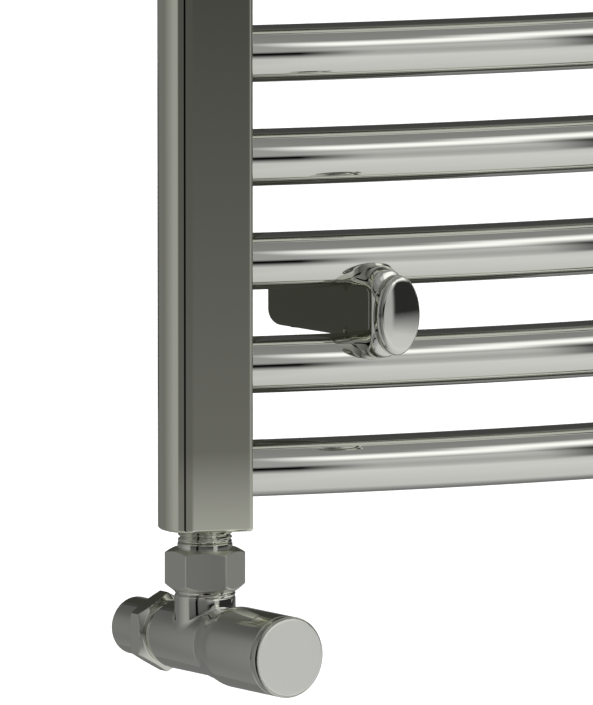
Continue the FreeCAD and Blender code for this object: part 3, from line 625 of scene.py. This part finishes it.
def moved(part, offset):
    verts, faces = part
    return [v + offset for v in verts], faces


def cap_part():
    """The oval cap: a rolled rim that runs into a low dome."""
    width, height = 19.6, 31.0
    rows = [(0.93, 22.05), (0.97, 22.15), (0.995, 22.5), (1.0, 23.0), (1.0, 24.6)]
    for k in range(1, 13):
        t = math.radians(80 * k / 12)
        rows.append((0.74 + 0.26 * math.cos(t), 24.6 + 2.6 * math.sin(t)))
    rim, crown = rows[-1]
    rows += [(rim * (1 - k / 16), crown + 0.9 * (1 - (1 - k / 16) ** 2)) for k in range(1, 16)]
    rings = []
    for share, depth in rows:
        rings.append([Vector((width / 2 * share * math.cos(a), -depth, height / 2 * share * math.sin(a))) * MM
                      for a in (2 * math.pi * j / 160 for j in range(160))])
    return skin(rings)


class RADIATOR_OT_brackets(bpy.types.Operator):
    """Draws the four clamp brackets: sleeves, front clamps and domed oval caps"""
    bl_idname = "radiator.brackets"
    bl_label = "Wall brackets"

    def execute(self, context):
        sizes = context.scene.radiator_sizes
        sleeves, clamps, caps, seats, bolts = [], [], [], [], []
        _, centre = bow(sizes)
        for x, z in bracket_places():
            y = centre.y - math.sqrt(sizes.bow_radius ** 2 - x * x)
            offset = Vector((x, y, z))
            rear = oval_rings(SLEEVE_SECTIONS, 2)
            front = oval_rings(arc_sections(CLAMP_SECTIONS, 1.6), 2)
            sleeves.append(moved(skin(rear), offset))
            clamps.append(moved(skin(front), offset))
            caps.append(moved(cap_part(), offset))
            bolts.append(lathe(mm(BOLT_ROOM), offset, "Y", 48))
            for side in (-1, 1):
                seats.append(skin(bar_rings(sizes, z + side * HALF_PITCH, BAR_RADIUS + 0.05 * MM, 0.0, 40, 96,
                                            x / UPRIGHT_AXIS.x - 0.1, x / UPRIGHT_AXIS.x + 0.1)))
        seats += bolts
        trimmed("sleeve_castings", *joined(sleeves), joined(seats), "chrome_bracket", ["bracket_sleeves"])
        trimmed("clamp_castings", *joined(clamps), joined(seats), "chrome_bracket", ["front_clamps"])
        new_piece("oval_caps", *joined(caps), "chrome_bracket", ["bracket_caps"])
        return {"FINISHED"}


# ---- valves ----------------------------------------------------------------------------------------------
def valve_centre(side):
    return Vector((side * UPRIGHT_AXIS.x, UPRIGHT_AXIS.y, BARREL_HEIGHT))


def mm(profile):
    """Millimetre profile points in metres."""
    return [(r * MM, s * MM) for r, s in profile]


BARREL_R, NECK_R = 13.2, 11.8
NECK_TOP = 25.5
THREAD_PITCH = 1.814
NUT_FLATS = 27.0            # across flats, both sizes of nut
GRIP_R = 15.6               # the handle and the cover
GRIP_FULL = -24.6           # where their taper to the mouth starts
GRIP_MOUTH = -13.0
GRIP_FRONT = -58.8
DISC_REAR = -57.9


def barrel(centre):
    profile = rounded(mm([(0, -12.4), (12.6, -12.4), (13.2, -11.8), (13.2, 19.3), (12.0, 20.5), (10.2, 20.5),
                          (10.2, 36.5), (0, 36.5)]), 0.25 * MM)
    return lathe(profile[1:-1], centre, "Y")


def neck(centre):
    """The outlet: it stands on the barrel with a small cast fillet and carries a thread."""
    fillet, segments, steps = 1.2 * MM, 160, 10
    thread_start, top = 16.6 * MM, NECK_TOP * MM
    rings = []
    radius, barrel_r = NECK_R * MM, BARREL_R * MM
    for k in range(steps + 1):
        angle = math.radians(90 * k / steps)
        spread = fillet * (1 - math.sin(angle))
        rise = fillet * (1 - math.cos(angle))
        ring = []
        for j in range(segments):
            t = 2 * math.pi * j / segments
            r = min(radius + spread, barrel_r - 0.15 * MM)
            x, y = r * math.cos(t), r * math.sin(t)
            on_barrel = math.sqrt(max(barrel_r ** 2 - x * x, 0.0))
            ring.append(centre + Vector((x, y, on_barrel - 0.05 * MM + rise)))
        rings.append(ring)
    levels = 70
    for k in range(levels + 1):
        z = thread_start + (top - thread_start) * k / levels
        ring = []
        for j in range(segments):
            t = 2 * math.pi * j / segments
            r = radius - thread_depth(t, z, thread_start, top, THREAD_PITCH * MM, 0.55 * MM)
            ring.append(centre + Vector((r * math.cos(t), r * math.sin(t), z)))
        rings.append(ring)
    return skin(rings)


def thread_depth(angle, z, start, end, pitch, depth):
    """Depth of a helical groove at an angle and height, running out at both ends of the thread."""
    phase = ((z - start) / pitch - angle / (2 * math.pi)) % 1.0
    groove = 1 - abs(2 * phase - 1)
    run_out = min((z - start) / (0.6 * pitch), (end - z) / (0.4 * pitch), 1.0)
    return depth * max(groove - 0.12, 0) * max(run_out, 0.0)


def tail(centre):
    """The union tail: collar, thread into the upright and the flange inside the nut."""
    low = NECK_TOP + 1.5
    lower = rounded(mm([(0, low), (10.9, low), (10.9, low + 4), (9.4, low + 4), (9.4, 33.6), (10.1, 33.6),
                        (10.6, 34.1), (10.6, 37.7), (9.9, 38.4), (9.0, 38.5)]), 0.2 * MM)
    start, end = 38.5 * MM, 53.2 * MM
    segments, levels = 128, 110
    first = lathe(lower[1:], centre, "Z", segments)
    rings = []
    for k in range(levels + 1):
        z = start + (end - start) * k / levels
        ring = []
        for j in range(segments):
            t = 2 * math.pi * j / segments
            r = 10.45 * MM - thread_depth(t, z, start, end, THREAD_PITCH * MM, 1.1 * MM)
            ring.append(centre + Vector((r * math.cos(t), r * math.sin(t), z)))
        rings.append(ring)
    return joined([first, skin(rings)])


def nut(centre, axis, profile, across_flats, turn, hex_span):
    """A nut: turned profile, with flats cut where its stations lie within hex_span."""
    limit = hex_limit(across_flats, turn, 0.12 * MM)

    def shape(angle, radius, station):
        inside = hex_span[0] * MM - 1e-6 <= station <= hex_span[1] * MM + 1e-6
        return limit(angle, radius, station) if inside else radius

    stations = dense(rounded(mm(profile), 0.3 * MM), 0.35 * MM)
    return lathe(stations, centre, axis, 240, shape)


class RADIATOR_OT_valves(bpy.types.Operator):
    """Draws both valve bodies with their union tails and nuts"""
    bl_idname = "radiator.valves"
    bl_label = "Valves"

    def execute(self, context):
        corner = NUT_FLATS / math.sqrt(3)
        tails, unions, compressions = [], [], []
        for name, side in SIDES.items():
            centre = valve_centre(side)
            body = joined([barrel(centre), neck(centre)])
            new_piece("cast_body_" + name, *body, "chrome_valve", ["valve_body_" + name])
            tails.append(tail(centre))
            unions.append(nut(centre, "Z", [(11.9, 19.5), (12.3, 19.5), (corner, 22.1), (corner, 34.0),
                                            (12.4, 35.7), (10.75, 35.7)], NUT_FLATS * MM,
                              math.radians(-32), (19.5, 35.7)))
            compressions.append(nut(centre, "Y", [(10.4, 21.3), (11.8, 21.3), (11.8, 24.3), (12.4, 24.3),
                                                  (corner, 26.4), (corner, 31.2), (13.4, 32.3),
                                                  (11.2, 32.3), (11.2, 48.4), (10.4, 49.2), (7.6, 49.2)],
                                    NUT_FLATS * MM, math.radians(30), (24.3, 32.3)))
        new_piece("tails", *joined(tails), "chrome_valve", ["union_tails"])
        new_piece("union_hex_nuts", *joined(unions), "chrome_valve", ["union_nuts"], maker=nut_chrome)
        new_piece("pipe_nuts", *joined(compressions), "chrome_valve", ["compression_nuts"])
        return {"FINISHED"}


def grip_profile():
    """Outer form that the handle and the cover share, from the front edge to the open mouth."""
    front = GRIP_FRONT
    points = [(14.9, front + 0.6), (15.0, front + 0.6), (GRIP_R, front + 1.3), (GRIP_R, front + 3.7),
              (15.15, front + 4.1), (GRIP_R, front + 4.5), (GRIP_R, GRIP_FULL - 2)]
    for k in range(13):
        share = k / 12
        ease = 0.5 - 0.5 * math.cos(math.pi * share)
        points.append((GRIP_R - 1.8 * ease, GRIP_FULL + (GRIP_MOUTH - GRIP_FULL) * share))
    return points


def grip(centre):
    """The shell of the handle or the cover: outer form, hollow and the web behind the disc."""
    outer = rounded(mm(grip_profile()), 0.12 * MM, 4)
    mouth_r, hollow_r, web = 13.3, GRIP_R - 1.6, -46.0
    inner = mm([(mouth_r, GRIP_MOUTH), (mouth_r, GRIP_FULL), (hollow_r, GRIP_FULL - 2), (hollow_r, web),
                (0.5, web)])
    front = mm([(0.5, DISC_REAR), (14.6, DISC_REAR)])
    return lathe(front + outer + inner, centre, "Y", 192)


class RADIATOR_OT_handles(bpy.types.Operator):
    """Draws the turning handle, its front disc and the lockshield cover"""
    bl_idname = "radiator.handles"
    bl_label = "Handle and cover"

    def execute(self, context):
        left, right = valve_centre(-1), valve_centre(1)
        new_piece("valve_handle", *grip(left), "chrome_handle", ["handle"], "handle")
        plate = rounded(mm([(0.5, GRIP_FRONT), (14.4, GRIP_FRONT), (14.8, GRIP_FRONT + 0.4),
                            (14.8, DISC_REAR), (0.5, DISC_REAR)]), 0.25 * MM)
        disc = dense(plate, 1.0 * MM)
        new_piece("handle_plate", *lathe(disc, left, "Y", 160), "chrome_disc", ["handle_disc"], "handle")
        cover = joined([grip(right), lathe(disc, right, "Y", 160)])
        new_piece("pull_off_cover", *cover, "chrome_handle", ["lockshield_cover"], "lockshield_cover")
        return {"FINISHED"}


# ---- hidden and small pieces keep their frame meshes ------------------------------------------------
class RADIATOR_OT_small_parts(bpy.types.Operator):
    """Gives every frame piece that still shows the finish of its record slot"""
    bl_idname = "radiator.small_parts"
    bl_label = "Small parts"

    def execute(self, context):
        slots = {part["node"]: part["material_slot"] for part in frame["record"]["subparts"]}
        for name, part in frame["nodes"].items():
            part.data.materials.clear()
            part.data.materials.append(finish_for(slots[name]))
        return {"FINISHED"}


# ---- stage ----------------------------------------------------------------------------------------------
CHROME_REFLECTANCE = 0.76
# Soft studio light: (degrees above the horizon, grey of 255 that chrome shows of it), to the nearest ten.
ROOM = {
    "left window": [(-90, 180), (-50, 150), (20, 150), (35, 110), (50, 70), (90, 180)],
    "left wall": [(-90, 180), (-50, 130), (-20, 110), (20, 100), (50, 60), (80, 60), (90, 180)],
    "near left": [(-90, 180), (-50, 160), (-30, 120), (-10, 110), (-5, 70), (0, 90), (40, 120), (90, 160)],
    "doorway": [(-90, 180), (-20, 190), (-10, 130), (-5, 60), (-1, 0), (3, 0), (10, 150), (35, 150),
                (45, 130), (80, 120), (90, 180)],
    "room ahead": [(-90, 180), (-20, 200), (-10, 170), (0, 160), (15, 180), (20, 160), (30, 250),
                   (35, 250), (45, 130), (80, 120), (90, 180)],
    "dark screen": [(-90, 180), (-30, 200), (-15, 190), (-5, 40), (20, 40), (25, 140), (35, 250), (40, 250),
                    (50, 130), (80, 120), (90, 180)],
    "wall": [(-90, 180), (-60, 150), (-40, 110), (0, 100), (20, 60), (80, 70), (90, 180)],
}
# Where each takes over from the one before, in degrees round from the front, right positive.
TURNS = [("left wall", [(-180, 1), (-155, 1), (-115, 0), (180, 0)]),
         ("near left", [(-100, 0), (-95, 1), (180, 1)]),
         ("doorway", [(-30, 0), (-15, 1), (180, 1)]),
         ("room ahead", [(0, 0), (5, 1), (180, 1)]),
         ("dark screen", [(18, 0), (23, 1), (180, 1)]),
         ("wall", [(95, 0), (125, 1), (180, 1)])]

WINDOW_FRAME = ((-72, 1), (-69, 0), (-63, 0), (-59, 1))     # the dark upright at the window's right


def radiance(value):
    """Light that a chrome surface turns into a grey of this sRGB value."""
    return linear_share(value) / CHROME_REFLECTANCE


def studio_world(scene):
    """A plain white surround for the eye, and for the chrome a studio of soft panels and dark gaps."""
    world = bpy.data.worlds.new("Studio")
    scene.world = world
    world.use_nodes = True
    tree = world.node_tree
    tree.nodes.clear()
    ray = add(tree, "ShaderNodeTexCoord").outputs["Generated"]
    x, y, z = add(tree, "ShaderNodeSeparateXYZ", {0: ray}).outputs
    level = sums(tree, "ADD", sums(tree, "DIVIDE", sums(tree, "ARCSINE", z, 0.0), math.pi), 0.5)
    bearing = sums(tree, "ARCTAN2", x, sums(tree, "MULTIPLY", y, -1.0))
    turn = sums(tree, "ADD", sums(tree, "DIVIDE", bearing, 2 * math.pi), 0.5)

    def panel(name):
        return ramp(tree, level, [((e + 90) / 180, radiance(v)) for e, v in ROOM[name]])

    def blend(mode, factor, below, above):
        made = add(tree, "ShaderNodeMix", {"Factor": factor, 6: below, 7: above}, data_type="RGBA",
                   blend_type=mode)
        return made.outputs[2]

    mixed = panel("left window")
    for name, stops in TURNS:
        factor = ramp(tree, turn, [((a + 180) / 360, value) for a, value in stops])
        mixed = blend("MIX", factor, mixed, panel(name))
    frame_edge = ramp(tree, turn, [((a + 180) / 360, value) for a, value in WINDOW_FRAME])
    mixed = blend("MULTIPLY", 1.0, mixed, frame_edge)
    studio = add(tree, "ShaderNodeBackground", {"Color": mixed, "Strength": 1.0})
    white = add(tree, "ShaderNodeBackground", {"Color": (1, 1, 1, 1), "Strength": 1.0})
    seen = add(tree, "ShaderNodeLightPath").outputs["Is Camera Ray"]
    pick = add(tree, "ShaderNodeMixShader", {0: seen, 1: studio.outputs[0], 2: white.outputs[0]})
    add(tree, "ShaderNodeOutputWorld", {"Surface": pick.outputs[0]})


FLOOR_DROP = 0.15           # floor below the valves
FLOOR_HALF = 60.0
LOOK_AT = Vector((-0.20783, -0.0628, -0.5310))
FLAG_INSET = 27 * MM        # from the upright's axis towards the middle
FLAG_OVERLAP = 36 * MM      # how far it reaches forward beside the sleeve
FLAG_DEPTH = 200 * MM
FLAG_BELOW, FLAG_ABOVE = 45 * MM, 90 * MM
FLAG_FOOT = 150 * MM


class RADIATOR_OT_stage(bpy.types.Operator):
    """Sets out the pale floor, the soft light and the camera"""
    bl_idname = "radiator.stage"
    bl_label = "Stage"

    def execute(self, context):
        scene = context.scene
        scene.view_settings.view_transform = "Standard"
        studio_world(scene)
        height = CAD_BOX[0].z - FLOOR_DROP
        mesh = bpy.data.meshes.new("floor")
        corners = [(sx * FLOOR_HALF, sy * FLOOR_HALF, height)
                   for sx, sy in ((-1, -1), (1, -1), (1, 1), (-1, 1))]
        mesh.from_pydata(corners, [], [(0, 1, 2, 3)])
        floor = bpy.data.objects.new("floor", mesh)
        scene.collection.objects.link(floor)
        floor.visible_glossy = False
        material, tree, shader = new_material("Pale studio floor")
        shader.inputs["Base Color"].default_value = linear(scene.radiator_finish.floor)
        shader.inputs["Roughness"].default_value = 1.0
        shader.inputs["Specular IOR Level"].default_value = 0.0
        mesh.materials.append(material)
        sun = bpy.data.lights.new("soft_overhead", "SUN")
        sun.energy = 3.4
        sun.angle = math.radians(50)
        lamp = bpy.data.objects.new("soft_overhead", sun)
        lamp.rotation_euler = (math.radians(12), math.radians(-8), 0)
        lamp.visible_glossy = False
        scene.collection.objects.link(lamp)
        self.dark_flag(scene)
        self.place_camera(scene)
        return {"FINISHED"}

    def dark_flag(self, scene):
        """A dark card with a foot, behind the left upright. Only reflections see it, and it stands
        where the polished flank and underside of the lower left sleeve mirror it."""
        low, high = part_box("bracket_sleeves")
        edge = -(UPRIGHT_AXIS.x - FLAG_INSET)
        near, far = high.y - FLAG_OVERLAP, high.y + FLAG_DEPTH
        bottom, top = low.z - FLAG_BELOW, low.z + FLAG_ABOVE
        foot = edge + FLAG_FOOT
        mesh = bpy.data.meshes.new("dark_flag")
        mesh.from_pydata([(edge, near, bottom), (edge, far, bottom), (edge, far, top), (edge, near, top),
                          (foot, far, bottom), (foot, near, bottom)], [], [(0, 1, 2, 3), (0, 1, 4, 5)])
        flag = bpy.data.objects.new("dark_flag", mesh)
        flag.visible_camera = flag.visible_diffuse = flag.visible_shadow = False
        material, tree, shader = new_material("Dark card")
        shader.inputs["Base Color"].default_value = linear("000000")
        shader.inputs["Emission Color"].default_value = linear("3F403A")
        shader.inputs["Emission Strength"].default_value = 1.0
        shader.inputs["Roughness"].default_value = 1.0
        shader.inputs["Specular IOR Level"].default_value = 0.0
        mesh.materials.append(material)
        scene.collection.objects.link(flag)

    def place_camera(self, scene):
        view = scene.radiator_camera
        azimuth, elevation = math.radians(view.azimuth), math.radians(view.elevation)
        back = Vector((math.sin(azimuth) * math.cos(elevation), -math.cos(azimuth) * math.cos(elevation),
                       math.sin(elevation)))
        lens = bpy.data.cameras.new("camera")
        lens.lens = view.lens
        lens.sensor_width = 36
        lens.clip_end = 200
        camera = bpy.data.objects.new("camera", lens)
        camera.rotation_mode = "QUATERNION"
        camera.location = LOOK_AT + back * view.distance
        camera.rotation_quaternion = (-back).to_track_quat("-Z", "Y")
        scene.collection.objects.link(camera)
        scene.camera = camera


class RADIATOR_PT_panel(bpy.types.Panel):
    """Buttons and sizes in the sidebar"""
    bl_idname = "RADIATOR_PT_panel"
    bl_label = "Towel Radiator"
    bl_space_type = "VIEW_3D"
    bl_region_type = "UI"
    bl_category = "Radiator"

    def draw(self, context):
        for group in (context.scene.radiator_sizes, context.scene.radiator_finish,
                      context.scene.radiator_camera):
            for name in group.__annotations__:
                self.layout.prop(group, name)
        for operator in OPERATORS:
            self.layout.operator(operator.bl_idname)


OPERATORS = (RADIATOR_OT_small_parts, RADIATOR_OT_crossbars, RADIATOR_OT_uprights,
             RADIATOR_OT_brackets, RADIATOR_OT_valves,
             RADIATOR_OT_handles, RADIATOR_OT_stage)
GROUPS = {"radiator_sizes": RadiatorSizes, "radiator_finish": RadiatorFinish,
          "radiator_camera": RadiatorCamera}


def register():
    for group in GROUPS.values():
        bpy.utils.register_class(group)
    for name, group in GROUPS.items():
        setattr(bpy.types.Scene, name, PointerProperty(type=group))
    for item in OPERATORS + (RADIATOR_PT_panel,):
        bpy.utils.register_class(item)


def unregister():
    for item in reversed(OPERATORS + (RADIATOR_PT_panel,)):
        bpy.utils.unregister_class(item)
    for name in GROUPS:
        delattr(bpy.types.Scene, name)
    for group in GROUPS.values():
        bpy.utils.unregister_class(group)


def main():
    register()
    finish = bpy.context.scene.radiator_finish
    CHROME_CODES.update(chrome=finish.chrome, valve_chrome=finish.valve_chrome)
    for operator in OPERATORS:
        family, name = operator.bl_idname.split(".")
        getattr(getattr(bpy.ops, family), name)()


if __name__ == "__main__":
    main()
